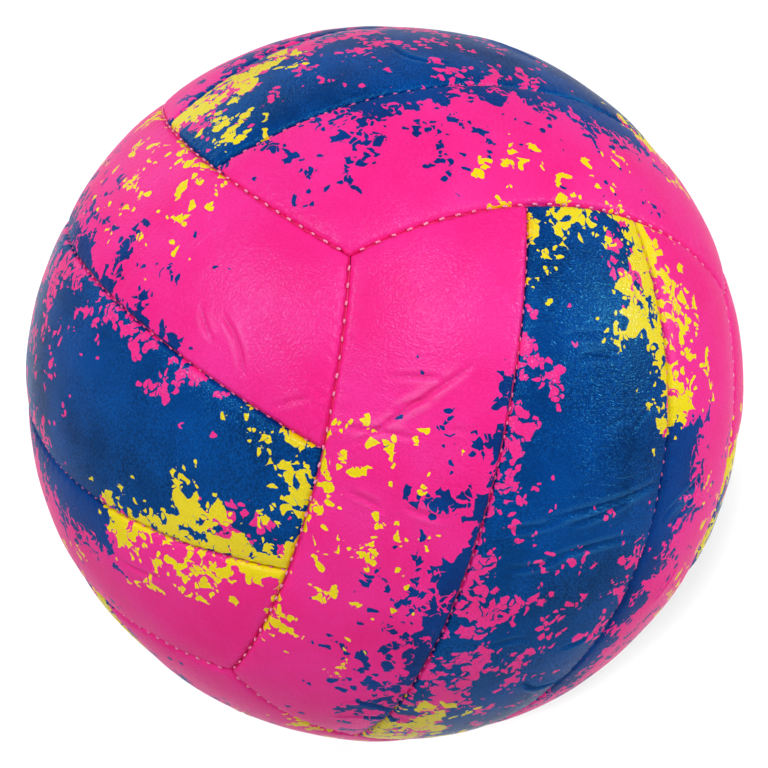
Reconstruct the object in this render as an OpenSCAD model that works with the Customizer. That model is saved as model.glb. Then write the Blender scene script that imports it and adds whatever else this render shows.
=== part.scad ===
// Size 5 volleyball: eighteen padded panels sewn edge to edge around an air bladder.
// Millimetres, +Z up, origin at the middle of the ball.
// A cube drawn inside the ball sets out six faces, and each face is three strips.
// Strips run along Z on the right and left faces, along Y on the top and bottom faces
// and along X on the front and back faces.
// Every panel is a laminate: a cover skin with rolled, turned-in edges, a foam pad and
// a backing cloth. The turned-in edges of two neighbours stand side by side and the
// sewing thread runs between them at the foot of the groove.

/* [Ball] */
// Outside diameter over the panels
ball_d = 210; // [190:1:220]
// Angle at the middle of the ball from a face's middle to its strip seams
strip_angle = 14.8; // [12:0.1:18]
// Angle at the middle of the ball from a face's middle to the middle of its long edge
side_angle = 38.4; // [36:0.1:43]

/* [Panel layers] */
// Cover skin thickness
skin_t = 0.8; // [0.5:0.1:1.2]
// Foam pad thickness
foam_t = 3; // [2.4:0.1:5]
// Backing cloth thickness
cloth_t = 0.4; // [0.2:0.1:0.8]
// Adhesive film between bonded layers
glue_t = 0.1; // [0.05:0.05:0.2]
// Radius of the rolled edge along every seam
edge_r = 2.4; // [1.8:0.1:3]
// Angle at which the rolled edge meets the crown and the turned-in flange
roll_angle = 12; // [8:1:18]

/* [Seams] */
// Sewing thread diameter
thread_d = 0.8; // [0.5:0.1:1.2]
// Clearance between the thread and each turned-in flange
thread_gap = 0.05; // [0.03:0.01:0.1]
// Depth of the thread's middle below the outside of the ball
thread_depth = 2.7; // [2.2:0.1:3.2]
// Clear end between thread runs that meet at a corner or a T junction
run_end_gap = 1; // [0.5:0.1:2]

/* [Bladder] */
// Rubber wall thickness of the bladder
bladder_t = 0.6; // [0.4:0.1:1]
// Clearance between the bladder and the backing cloth
bladder_gap = 0.1; // [0.05:0.05:0.3]

/* [Valve] */
// Diameter of the valve body's boss in the panel
boss_d = 9.4; // [8:0.1:12]
// Clearance around the boss in the panel's hole
boss_gap = 0.2; // [0.1:0.05:0.4]
// Depth of the boss's face below the outside of the ball
boss_recess = 0.8; // [0.4:0.1:1.5]
// Diameter of the flange bonded inside the bladder
flange_d = 26; // [20:1:34]
// Flange thickness
flange_t = 1.4; // [1:0.1:2]
// Diameter of the stem inside the bladder
stem_d = 8; // [7:0.1:9]
// Length of the stem below the flange
stem_l = 12; // [8:0.5:16]
// Diameter of the self-sealing plug's shank
plug_d = 5.2; // [4:0.1:6]
// Diameter of the plug's head
head_d = 7; // [6.4:0.1:7.8]
// Thickness of the plug's head
head_t = 1.4; // [1:0.1:2]
// Clearance around the plug in the valve body
plug_gap = 0.05; // [0.02:0.01:0.1]
// Diameter of the needle hole in the plug
needle_d = 2.2; // [2:0.1:2.6]
// Depth of the needle hole below its lead-in
needle_l = 9; // [6:0.5:12]
// Diameter of the lead-in at the mouth of the needle hole
lead_d = 3.6; // [3:0.1:4.4]
// Depth of the lead-in
lead_t = 0.8; // [0.4:0.1:1]

/* [Hidden] */
$fn = 72;
// Overshoot of every cutter past the surface that it cuts
cut = 1;
// Positions of the six faces, in the order of their names
faces = ["right", "left", "top", "bottom", "front", "back"];
// Position of the valve's face in the list above
valve_face = 5;
// Position of the middle strip of a face
middle = 2;
ball_r = ball_d / 2;
reach = ball_r + 2 * cut;
// Half of the gap that the thread holds open between two flanges
seam_half = thread_d / 2 + thread_gap;
panel_t = skin_t + glue_t + foam_t + glue_t + cloth_t;
pad_inset = skin_t + glue_t;
cloth_r = ball_r - pad_inset - foam_t - glue_t;
bladder_r = ball_r - panel_t - bladder_gap;
flange_r = bladder_r - bladder_t - glue_t;
stem_end = flange_r - flange_t - stem_l;
boss_face = ball_r - boss_recess;
// Middle of the edge roll, measured from the crown and from the flange
roll_c = edge_r * cos(roll_angle);
// A long edge is a circle on the ball through two cube corners and the middle of the edge.
// Its axis is tilted away from the face, and it lies at edge_angle from that axis.
corner = 1 / sqrt(3);
edge_tilt = atan2(sin(side_angle) - corner, cos(side_angle) - corner);
edge_angle = acos(corner * (cos(edge_tilt) - sin(edge_tilt)));
// The flange stands square to the ball along that circle, as part of a larger sphere
wall_r = ball_r * tan(edge_angle);
wall_x = ball_r / cos(edge_angle);
// Half the turn of an edge's thread about its axis, and of a strip seam's about its own
edge_turn = asin(corner / sin(edge_angle)) - arc(thread_d + run_end_gap) / sin(edge_angle);
end_lean = atan2(sin(edge_tilt), cos(strip_angle) * cos(edge_tilt));
end_reach = norm([sin(edge_tilt), cos(strip_angle) * cos(edge_tilt)]);
strip_turn = acos(cos(edge_angle) / end_reach) - end_lean - arc(thread_d + run_end_gap);

panels = [for (f = faces, s = [1 : 3]) str(f, "_", s)];

// Angle at the middle of the ball for a length along its surface
function arc(length) = length / ball_r * 180 / PI;

// Turns a face built about +X, with its strips along Z, to its place on the ball
module on_face(i) {
    rotate(a = 120 * floor(i / 2), v = [1, -1, 1])
        rotate([0, 0, 180 * (i % 2)])
            children();
}

// Hollow ball between two radii
module shell(outer_r, inner_r) {
    rotate([0, 0, 180])
        difference() {
            sphere(outer_r);
            sphere(inner_r);
        }
}

// Sphere on +X whose surface is the wall of a long edge, moved outwards by an offset
module wall_ball(offset) {
    translate([wall_x, 0, 0])
        sphere(wall_r + offset);
}

// Everything a panel leaves outside its rolled edge, as a ring about +X.
// The panel lies towards +X for side 1 and away from it for side -1.
module edge_ring(angle, inset, side) {
    rotate([0, 90, 0])
        rotate_extrude()
            rotate([0, 0, 90 - angle])
                mirror([0, side < 0 ? 1 : 0])
                    difference() {
                        translate([ball_r - roll_c, seam_half + inset - cut])
                            square(roll_c - inset + cut);
                        translate([ball_r - roll_c, seam_half + roll_c])
                            circle(edge_r - inset);
                    }
}

// Half space beside a strip seam, on the side of growing or falling angle
module seam_side(offset, side) {
    rotate([0, 0, strip_angle])
        translate([0, side > 0 ? offset : offset - reach, -reach])
            cube([reach, reach, 2 * reach]);
}

// Layer of one face between two radii, cut back from the seams at both ends.
// Each end is the long edge of a neighbouring face.
module face_layer(outer_r, inner_r, inset) {
    intersection() {
        shell(outer_r, inner_r);
        rotate([0, edge_tilt, 0])
            wall_ball(-seam_half - inset);
        mirror([0, 0, 1])
            rotate([0, edge_tilt, 0])
                wall_ball(-seam_half - inset);
    }
}

// Middle strip of a face between two radii
module middle_layer(outer_r, inner_r, inset) {
    difference() {
        face_layer(outer_r, inner_r, inset);
        seam_side(-seam_half - inset, 1);
        rotate([180, 0, 0])
            seam_side(-seam_half - inset, 1);
    }
}

// Outer strip of a face on its +Y side between two radii
module outer_layer(outer_r, inner_r, inset) {
    difference() {
        face_layer(outer_r, inner_r, inset);
        seam_side(seam_half + inset, -1);
        rotate([0, 0, 90 + edge_tilt])
            wall_ball(seam_half + inset);
    }
}

// Strip layer with the edges at both ends rolled over
module end_rolled_layer(strip, inner_r, inset) {
    difference() {
        if (strip == middle)
            middle_layer(ball_r - inset, inner_r, inset);
        else
            outer_layer(ball_r - inset, inner_r, inset);
        rotate([0, edge_tilt, 0])
            edge_ring(edge_angle, inset, 1);
        mirror([0, 0, 1])
            rotate([0, edge_tilt, 0])
                edge_ring(edge_angle, inset, 1);
    }
}

// The same layer with the edge along the strip seam on its inner side rolled over
module seam_rolled_layer(strip, inner_r, inset) {
    difference() {
        end_rolled_layer(strip, inner_r, inset);
        rotate([0, 0, 90 + strip_angle])
            edge_ring(90, inset, strip == middle ? -1 : 1);
    }
}

// The same layer with all four edges rolled over
module rolled_layer(strip, inner_r, inset) {
    difference() {
        seam_rolled_layer(strip, inner_r, inset);
        if (strip == middle)
            rotate([180, 0, 0])
                rotate([0, 0, 90 + strip_angle])
                    edge_ring(90, inset, -1);
        else
            rotate([0, 0, 90 + edge_tilt])
                edge_ring(edge_angle, inset, -1);
    }
}

// Puts a strip on its side of the face; strip 1 is the mirror twin of strip 3
module on_strip(face, strip) {
    on_face(face)
        rotate([strip < middle ? 180 : 0, 0, 0])
            children();
}

// Hole for the valve's boss, in the valve panel only
module boss_hole(face, strip) {
    difference() {
        children();
        if (face == valve_face && strip == middle)
            rotate([0, 90, 0])
                cylinder(h = reach, d = boss_d + 2 * boss_gap);
    }
}

// Cover skin: a shallow tray with rolled edges and turned-in flanges
module skin(face, strip) {
    color(strip == middle ? "mediumblue" : "deeppink")
        on_strip(face, strip)
            boss_hole(face, strip)
                difference() {
                    rolled_layer(strip, ball_r - panel_t, 0);
                    rolled_layer(strip, ball_r - panel_t - cut, skin_t);
                }
}

// Foam pad that fills the skin's tray
module foam(face, strip) {
    color("whitesmoke")
        on_strip(face, strip)
            boss_hole(face, strip)
                rolled_layer(strip, ball_r - pad_inset - foam_t, pad_inset);
}

// Backing cloth bonded behind the foam, inside the flanges
module cloth(face, strip) {
    color("lightgray")
        on_strip(face, strip)
            boss_hole(face, strip)
                if (strip == middle)
                    middle_layer(cloth_r, cloth_r - cloth_t, pad_inset);
                else
                    outer_layer(cloth_r, cloth_r - cloth_t, pad_inset);
}

// Thread along part of a seam circle, its middle towards +X
module thread_run(angle, turn) {
    rotate([-90, 0, 0])
        rotate([0, 0, -turn])
            rotate_extrude(angle = 2 * turn)
                rotate([0, 0, 90 - angle])
                    translate([ball_r - thread_depth, 0])
                        circle(d = thread_d);
}

// Thread of the twelve seams where two faces meet
module edge_thread() {
    color("hotpink")
        for (i = [0 : 5], half = [0, 180])
            on_face(i)
                rotate([half, 0, 0])
                    rotate([0, 0, edge_tilt])
                        thread_run(edge_angle, edge_turn);
}

// Thread of the twelve seams between strips of one face
module strip_thread() {
    color("hotpink")
        for (i = [0 : 5], half = [0, 180])
            on_face(i)
                rotate([half, 0, 0])
                    rotate([0, 0, strip_angle])
                        thread_run(90, strip_turn);
}

// Air bladder with the hole that the valve body passes through
module bladder() {
    color("dimgray")
        on_face(valve_face)
            difference() {
                shell(bladder_r, bladder_r - bladder_t);
                rotate([0, 90, 0])
                    cylinder(h = reach, d = boss_d + 2 * glue_t);
            }
}

// Valve body: flange bonded inside the bladder, boss out through the panel, stem inwards
module valve_body() {
    color("black")
        on_face(valve_face)
            difference() {
                union() {
                    intersection() {
                        shell(flange_r, flange_r - flange_t);
                        rotate([0, 90, 0])
                            cylinder(h = reach, d = flange_d);
                    }
                    translate([flange_r - flange_t / 2, 0, 0])
                        rotate([0, 90, 0])
                            cylinder(h = boss_face - flange_r + flange_t / 2, d = boss_d);
                    translate([stem_end, 0, 0])
                        rotate([0, 90, 0])
                            cylinder(h = bladder_r - stem_end, d = stem_d);
                }
                translate([stem_end - cut, 0, 0])
                    rotate([0, 90, 0])
                        cylinder(h = reach, d = plug_d + 2 * plug_gap);
                translate([boss_face - head_t, 0, 0])
                    rotate([0, 90, 0])
                        cylinder(h = head_t + cut, d = head_d + 2 * plug_gap);
            }
}

// Self-sealing plug: closed at its inner end, with a blind hole that guides the needle
module valve_plug() {
    color("darkslategray")
        on_face(valve_face)
            difference() {
                union() {
                    translate([boss_face - head_t + plug_gap, 0, 0])
                        rotate([0, 90, 0])
                            cylinder(h = head_t - plug_gap, d = head_d);
                    translate([stem_end, 0, 0])
                        rotate([0, 90, 0])
                            cylinder(h = boss_face - head_t / 2 - stem_end, d = plug_d);
                }
                translate([boss_face - lead_t - needle_l, 0, 0])
                    rotate([0, 90, 0])
                        cylinder(h = needle_l + lead_t + cut, d = needle_d);
                translate([boss_face - lead_t, 0, 0])
                    rotate([0, 90, 0])
                        cylinder(h = lead_t, d1 = needle_d, d2 = lead_d);
            }
}

for (i = [0 : 5], strip = [1 : 3]) {
    skin(i, strip);
    foam(i, strip);
    cloth(i, strip);
}
edge_thread();
strip_thread();
bladder();
valve_body();
valve_plug();
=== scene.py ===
# %% [markdown]
# # A sewn volleyball with a flake print
# The ball is eighteen padded panels around a rubber bladder. A cube drawn inside the ball sets
# out six faces, and each face is three strips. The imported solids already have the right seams
# and layers, so this lesson dresses them: it re-makes the cover skins as soft sheets with rolled
# edges and creases, sews them with stitches, and gives every layer its finish.

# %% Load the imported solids
import math

import bmesh
import bpy
import numpy as np
from mathutils import Matrix, Vector, noise


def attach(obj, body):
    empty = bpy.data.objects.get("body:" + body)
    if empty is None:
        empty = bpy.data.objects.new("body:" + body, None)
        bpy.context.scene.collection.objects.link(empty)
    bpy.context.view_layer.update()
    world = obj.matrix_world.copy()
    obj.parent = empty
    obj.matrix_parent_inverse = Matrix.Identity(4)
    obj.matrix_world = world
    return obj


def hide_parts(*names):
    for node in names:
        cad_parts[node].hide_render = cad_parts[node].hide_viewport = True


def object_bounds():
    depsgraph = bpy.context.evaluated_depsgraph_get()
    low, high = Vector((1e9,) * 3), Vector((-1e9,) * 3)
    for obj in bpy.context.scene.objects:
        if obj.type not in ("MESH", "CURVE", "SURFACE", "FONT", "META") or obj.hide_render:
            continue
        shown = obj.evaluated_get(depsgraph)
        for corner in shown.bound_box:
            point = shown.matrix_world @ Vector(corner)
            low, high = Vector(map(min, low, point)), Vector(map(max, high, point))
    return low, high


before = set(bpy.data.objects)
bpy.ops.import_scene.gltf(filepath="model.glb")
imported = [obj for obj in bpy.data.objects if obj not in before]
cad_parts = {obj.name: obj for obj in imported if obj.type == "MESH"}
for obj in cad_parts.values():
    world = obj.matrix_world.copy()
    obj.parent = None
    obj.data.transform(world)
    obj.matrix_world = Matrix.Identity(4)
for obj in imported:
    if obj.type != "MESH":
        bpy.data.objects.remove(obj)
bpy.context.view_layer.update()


def placed(name, data):
    """An object for a mesh, a lamp or a camera, put into the scene."""
    obj = bpy.data.objects.new(name, data)
    bpy.context.scene.collection.objects.link(obj)
    return obj


# %% [markdown]
# ## The seam layout
# Every strip seam is a great circle through the two ends of its face. Every long edge of a face
# is a smaller circle through two cube corners, bowed towards the face's middle. The same few
# angles as in the solids give all of them, so nothing has to be fitted by eye.

# %% Angles of the seams
# lengths are in metres and angles in radians, unless a comment says otherwise
BALL_R = 0.105
STRIP = math.radians(14.8)
SIDE = math.radians(38.4)
CORNER = 1 / math.sqrt(3)
TILT = math.atan2(math.sin(SIDE) - CORNER, math.cos(SIDE) - CORNER)
EDGE = math.acos(CORNER * (math.cos(TILT) - math.sin(TILT)))
FACES = ["right", "left", "top", "bottom", "front", "back"]


def face_turn(face):
    """Rotation that takes a face built about +X, with strips along Z, to its place on the ball."""
    i = FACES.index(face)
    turn = Matrix.Rotation(math.radians(120 * (i // 2)), 3, Vector((1, -1, 1)))
    return np.array(turn @ Matrix.Rotation(math.pi * (i % 2), 3, "Z"))


def end_angle(across):
    """Angle along a strip, from its middle, at which the face ends."""
    a, b = np.cos(across) * math.cos(TILT), math.sin(TILT)
    return np.arccos(math.cos(EDGE) / np.hypot(a, b)) - np.arctan2(b, a)


def side_angle(along):
    """Angle across the face, from its middle, at which the face's long edge lies."""
    return TILT + np.arcsin(math.cos(EDGE) / np.cos(along))


def on_ball(across, along):
    """Points of the unit ball for angles across and along the strips of a face."""
    return np.stack([np.cos(along) * np.cos(across), np.cos(along) * np.sin(across), np.sin(along)], -1)


print("edge circle at", round(math.degrees(EDGE), 2), "deg, tilted", round(math.degrees(TILT), 2), "deg")

# %% [markdown]
# ## Rows and columns of a panel
# A panel needs fine rows where its edge rolls over and coarser ones on its crown. The rows below
# the roll are the turned-in flange. Panels are not square: a middle strip is half as wide again
# in its middle as at its ends. So each row is kept as a distance from the seam plus a share of
# the width, and the width is measured where the row is.

# %% Spacing of the panel's rows
SEAM_HALF = 0.15e-3
ROLL_R = 1.5e-3
FLANGE = [3.3e-3, 2.3e-3]
# degrees round the roll, from the flange to the crown
ROLL_STEPS = [0, 12, 26, 40, 54, 68, 82]
# width and length hang on each other, so the grid is worked out in a few rounds
SETTLE_ROUNDS = 25


def rows(count):
    """Fixed part in metres and share of the width for every row, with count steps on the crown."""
    roll = [SEAM_HALF + ROLL_R * (1 - math.cos(math.radians(t))) for t in ROLL_STEPS]
    edge = np.array([SEAM_HALF] * len(FLANGE) + roll)
    k = np.arange(1, count) / count
    fixed = np.concatenate([edge, edge[-1] * (1 - 2 * k), -edge[::-1]])
    share = np.concatenate([0 * edge, k, 0 * edge + 1])
    return fixed, share


def even_rows(count):
    """Rows that only share out the width evenly."""
    return np.zeros(count), np.linspace(0, 1, count)


def panel_angles(strip, across_rows, along_rows):
    """Angles across and along a face for the grid of strip 1, 2 or 3, and each point's two shares."""
    n, m = len(along_rows[0]), len(across_rows[0])
    across, along = np.full((n, m), STRIP), np.zeros((n, m))
    for _ in range(SETTLE_ROUNDS):
        low = np.full((n, m), -STRIP if strip == 2 else STRIP)
        high = np.full((n, m), STRIP) if strip == 2 else side_angle(along)
        width = (high - low) * np.cos(along) * BALL_R
        a = across_rows[0] / width + across_rows[1]
        across = low + (high - low) * a
        length = 2 * end_angle(across) * BALL_R
        w = along_rows[0][:, None] / length + along_rows[1][:, None]
        along = (2 * w - 1) * end_angle(across)
    if strip == 1:
        across, along, a, w = -across[:, ::-1], along[:, ::-1], 1 - a[:, ::-1], w[:, ::-1]
    return across, along, a, w


def seam_distances(strip, across, along):
    """Distance in metres from each point to the panel's two long seams and to its two ends."""
    p = on_ball(across, along)
    plus = np.arcsin(p @ np.array([-math.sin(STRIP), math.cos(STRIP), 0]))
    minus = np.arcsin(p @ np.array([math.sin(STRIP), math.cos(STRIP), 0]))
    right = np.arccos(p @ np.array([-math.sin(TILT), math.cos(TILT), 0])) - EDGE
    left = np.arccos(p @ np.array([-math.sin(TILT), -math.cos(TILT), 0])) - EDGE
    sides = {1: (left, -minus), 2: (minus, -plus), 3: (plus, right)}[strip]
    ends = [EDGE - np.arccos(p @ np.array([math.cos(TILT), 0, s * math.sin(TILT)])) for s in (1, -1)]
    return [np.maximum(d, 0) * BALL_R for d in (*sides, *ends)]


ACROSS = rows(68)
ALONG = rows(225)
print("rows across", len(ACROSS[0]), "rows along", len(ALONG[0]))

# %% [markdown]
# ## Blowing up the panels
# Air pressure crowns every panel between its seams. Sculpting the crown by hand would make all
# the panels alike, so each one is a coarse cloth sheet, pinned along its seams and blown up by
# the cloth solver for a few frames. Only the height that each point gains is kept. The sheets
# are ten times too large while they are simulated, because the solver is happier at that size.

# %% Cloth simulation of the crowns
SIM_SCALE = 10.0
SIM_FRAMES = 16
SIM_ACROSS = even_rows(15)
SIM_ALONG = even_rows(55)
SHEET_R = BALL_R - 0.6e-3
LUMP = 0.35e-3
CROWN_LEAST, CROWN_CAP = -0.3e-3, 1.5e-3
SHEET_SETTINGS = {
    "vertex_group_mass": "seam",
    "quality": 6,
    "mass": 0.4,
    "tension_stiffness": 30,
    "compression_stiffness": 12,
    "bending_stiffness": 6,
    "shrink_min": -0.006,
    "use_pressure": True,
    "uniform_pressure_force": 4,
}


def grid_faces(n_rows, n_cols):
    """Quads of a grid of points stored row by row."""
    i = np.arange(n_rows - 1)[:, None] * n_cols + np.arange(n_cols - 1)[None, :]
    return np.stack([i, i + 1, i + n_cols + 1, i + n_cols], -1).reshape(-1, 4)


def sheet_mesh(name, points, faces):
    """A mesh of points and quads."""
    mesh = bpy.data.meshes.new(name)
    mesh.from_pydata(points.tolist(), [], faces.tolist())
    return mesh


def crown_of(strip, seed):
    """Height in metres that the pressure adds at each point of a coarse sheet of that strip."""
    across, along, _, _ = panel_angles(strip, SIM_ACROSS, SIM_ALONG)
    shape = across.shape
    p = on_ball(across, along).reshape(-1, 3)
    lump = np.array([noise.noise(Vector(7 * q) + Vector((seed, 2 * seed, 0))) for q in p])
    start = p * ((SHEET_R + LUMP * lump) * SIM_SCALE)[:, None]
    mesh = sheet_mesh("crown_sheet", start, grid_faces(*shape))
    obj = placed("crown_sheet", mesh)
    rim = np.zeros(shape, bool)
    rim[[0, -1], :] = True
    rim[:, [0, -1]] = True
    obj.vertex_groups.new(name="seam").add(np.flatnonzero(rim.ravel()).tolist(), 1.0, "REPLACE")
    cloth = obj.modifiers.new("Cloth", "CLOTH")
    for setting, value in SHEET_SETTINGS.items():
        setattr(cloth.settings, setting, value)
    cloth.settings.effector_weights.gravity = 0
    cloth.point_cache.frame_start = 1
    cloth.point_cache.frame_end = SIM_FRAMES
    for f in range(1, SIM_FRAMES + 1):
        bpy.context.scene.frame_set(f)
    blown = obj.evaluated_get(bpy.context.evaluated_depsgraph_get()).to_mesh()
    end = np.empty(len(p) * 3)
    blown.vertices.foreach_get("co", end)
    gain = np.linalg.norm(end.reshape(-1, 3), axis=1) / SIM_SCALE - SHEET_R
    bpy.data.objects.remove(obj, do_unlink=True)
    bpy.data.meshes.remove(mesh)
    return np.clip(gain, CROWN_LEAST, CROWN_CAP).reshape(shape)


panels = [(face, strip) for face in FACES for strip in (1, 2, 3)]
crowns = {}
for k, (face, strip) in enumerate(panels):
    crowns[face, strip] = crown_of(strip, k + 1)
bpy.context.scene.frame_set(1)
print("crown heights in mm", sorted({round(1000 * float(c.max()), 2) for c in crowns.values()}))

# %% [markdown]
# ## Creases
# Soft synthetic leather over thin foam keeps creases from being packed flat and blown up again.
# Each crease is a shallow valley with a slightly raised shoulder on both sides, deepest in the
# middle of its length. They could be painted as bump, but a real valley also bends the highlight,
# so each one is a short bowed line on a face and is pressed into the sheet as height. The cover's
# finish also paints a highlight on the shoulders of a crease and shade inside it.

# %% Where the creases run
CREASE_HALF = 0.75e-3
CREASE_DEPTH = 2.4e-3
SHOULDER, SHOULDER_WIDTH = 0.45, 2.6
# face: across and along in degrees at both ends, sideways bow in degrees, share of the depth
CREASES = {
    "right": [
        (-34.7, 11.7, -21.9, 25.6, 0.3, 0.50),
        (-33.1, 21.3, -25.5, 23.0, 0.3, 0.36),
        (-38.0, 13.2, -26.8, 14.6, 0.3, 0.40),
        (-34.1, 5.2, -28.7, 4.2, 0.2, 0.36),
        (-26.2, 5.3, -19.8, 4.9, -0.2, 0.40),
        (-31.4, 17.2, -26.4, 19.9, 0.3, 0.30),
        (-23.0, 16.6, -19.8, 16.9, 0.3, 0.26),
        (-12.0, 4.4, -3.4, 7.0, -0.3, 0.42),
        (-10.0, -1.2, -1.6, 1.4, -0.5, 0.42),
        (-5.8, 6.9, 14.4, 12.2, 0.0, 0.62),
        (-2.3, 6.0, 7.5, 9.7, -0.1, 0.50),
        (-9.3, 30.6, 0.1, 32.0, 0.7, 0.44),
        (-5.9, 28.0, 1.7, 29.2, 0.9, 0.44),
        (16.5, 6.2, 24.4, 11.1, 0.3, 0.62),
        (19.6, 5.1, 24.1, 9.3, -0.1, 0.44),
        (-3.9, 0.9, 10.4, 4.2, 0.6, 0.56),
        (3.5, -23.0, 14.3, -23.3, -2.1, 0.70),
        (-24.8, -38.7, -11.4, -37.7, 2.3, 0.42),
        (-24.0, -31.9, -15.1, -33.3, 0.9, 0.36),
        (6.3, 20.0, 10.8, 23.0, 0.7, 0.36),
        (0.5, 19.9, 5.7, 21.6, 0.3, 0.30),
        (23.7, -9.1, 26.4, -4.2, -0.2, 0.46),
        (5.7, -15.6, 12.9, -12.1, -0.4, 0.44),
        (-7.9, -15.4, -0.4, -13.1, 0.8, 0.34),
    ],
    "front": [
        (-23.2, 25.0, -19.9, 30.0, -0.3, 0.34),
        (-24.1, 28.6, -18.5, 35.9, 0.8, 0.46),
        (-16.7, 41.5, -22.5, 45.3, 0.2, 0.36),
        (23.1, 22.0, 23.1, 31.0, -0.5, 0.30),
        (-9.9, 9.6, -11.8, 17.6, -0.4, 0.26),
    ],
    "top": [
        (-1.6, 17.2, -9.5, 11.9, -2.4, 0.50),
        (-15.3, -5.4, -15.9, -13.4, 0.6, 0.50),
        (-3.0, -8.0, 9.0, -3.0, 1.2, 0.44),
    ],
}


def scattered_creases(seed, count):
    """Creases for a face that has none of its own yet."""
    pick = np.random.default_rng(seed)
    made = []
    for strip_mid in pick.choice([-27.0, 0.0, 27.0], count):
        mid = np.array([strip_mid + pick.uniform(-4, 4), pick.uniform(-30, 32)])
        half = pick.uniform(4, 8) * np.array([1.0, pick.uniform(-0.1, 0.9)])
        made.append((*(mid - half), *(mid + half), pick.uniform(-1.5, 1.5), pick.uniform(0.16, 0.4)))
    return made


for k, face in enumerate(FACES):
    CREASES.setdefault(face, scattered_creases(40 + k, 12))
print("creases on each face", {face: len(lines) for face, lines in CREASES.items()})

# %% Height of the creases
def crease_height(face, across, along):
    """Height in metres that the creases of a face add at each point."""
    height = np.zeros(across.shape)
    x, y = np.degrees(across) * np.cos(along), np.degrees(along)
    for ax, ay, bx, by, bow, depth in CREASES[face]:
        start = np.array([ax * math.cos(math.radians(ay)), ay])
        end = np.array([bx * math.cos(math.radians(by)), by])
        run = end - start
        length = math.hypot(*run)
        t = ((x - start[0]) * run[0] + (y - start[1]) * run[1]) / length**2
        side = ((y - start[1]) * run[0] - (x - start[0]) * run[1]) / length
        inside = np.clip(t, 0, 1)
        off = np.radians(side - bow * 4 * inside * (1 - inside)) * BALL_R
        over = np.radians((t - inside) * length) * BALL_R
        d = np.hypot(off, over) / CREASE_HALF
        fade = np.sqrt(np.clip(np.sin(math.pi * np.clip(t, 0.02, 0.98)), 0, 1))
        valley = np.exp(-d**2) - SHOULDER * np.exp(-((d / SHOULDER_WIDTH) ** 2))
        height -= CREASE_DEPTH * depth * fade * valley
    return height


# %% [markdown]
# ## Cover skins
# A skin is one sheet: a crown, an edge that rolls over into the seam, and a flange turned in
# towards the bladder. A subdivided box would round its corners away, so the sheet is a grid laid
# between its four seams, and every point is lowered by the round of the nearest edge. Stitches
# pull small puckers along the edge, and a soft ball is never quite round, so both are added as
# small heights before the sheet gets its thickness. The strips of the top and bottom face are sewn
# in the other way round, so on them the place that the print reads is turned by half a turn.

# %% Heights of a skin
CROWN_BASE = 0.75e-3
STITCH_PITCH = 4.0e-3
PUCKER, PUCKER_REACH = 0.16e-3, 1.8e-3
UNEVEN = 0.35e-3


def cubic_lookup(field, row, col):
    """Smooth values of a coarse grid at places given as shares of its rows and columns."""
    n, m = field.shape
    out = np.zeros(row.shape)
    x, y = np.clip(row, 0, 1) * (n - 1), np.clip(col, 0, 1) * (m - 1)
    i, j = np.minimum(x.astype(int), n - 2), np.minimum(y.astype(int), m - 2)
    weights = []
    for t in (x - i, y - j):
        weights.append([
            -0.5 * t + t**2 - 0.5 * t**3,
            1 - 2.5 * t**2 + 1.5 * t**3,
            0.5 * t + 2 * t**2 - 1.5 * t**3,
            -0.5 * t**2 + 0.5 * t**3,
        ])
    for a in range(4):
        for b in range(4):
            near = field[np.clip(i + a - 1, 0, n - 1), np.clip(j + b - 1, 0, m - 1)]
            out += weights[0][a] * weights[1][b] * near
    return out


def roll_drop(distance):
    """How far the rolled edge has fallen below the crown at a distance from the seam."""
    x = np.clip(ROLL_R + SEAM_HALF - distance, 0, ROLL_R)
    return ROLL_R - np.sqrt(ROLL_R**2 - x**2)


def flange_drop(count):
    """Depth of the turned-in flange in the first and last rows, and zero in between."""
    drop = np.zeros(count)
    drop[: len(FLANGE)] = FLANGE
    return np.maximum(drop, drop[::-1])


def soft_noise(points, scale, seed):
    """Smooth noise between about -1 and 1 at each point of the unit ball."""
    shift = Vector((seed, -seed, 2 * seed))
    values = [noise.noise(Vector(scale * p) + shift) for p in points.reshape(-1, 3)]
    return np.array(values).reshape(points.shape[:-1])


def puckers(run, distance):
    """Waves of one stitch's length along a seam, fading away from it."""
    wave = np.cos(2 * math.pi * run * BALL_R / STITCH_PITCH)
    return wave * np.exp(-np.maximum(distance - SEAM_HALF, 0) / PUCKER_REACH)


def skin_heights(face, strip, across, along, a, w, creases):
    """Radius of every point of a skin's outer sheet."""
    side_low, side_high, end_top, end_low = seam_distances(strip, across, along)
    side, end = np.minimum(side_low, side_high), np.minimum(end_top, end_low)
    roll = (roll_drop(side) ** 5 + roll_drop(end) ** 5) ** 0.2
    n, m = across.shape
    drop = np.maximum(roll, np.maximum(flange_drop(n)[:, None], flange_drop(m)[None, :]))
    crown = cubic_lookup(crowns[face, strip], w, a) - CROWN_BASE
    world = on_ball(across, along) @ face_turn(face).T
    uneven = UNEVEN * soft_noise(world, 3.0, 11) + 0.4 * UNEVEN * soft_noise(world, 9.0, 5)
    wave = puckers(along, side) + puckers(across, end)
    keep = np.clip((FLANGE[0] - drop) / (FLANGE[0] - ROLL_R), 0, 1)
    return BALL_R + (crown + uneven + creases - PUCKER * wave) * keep - drop


# %% Skins with thickness
SKIN_T = 0.7e-3
FOLD_FULL = 0.3e-3
MERGE = 2e-6
TURNED = ("top", "bottom")


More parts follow.
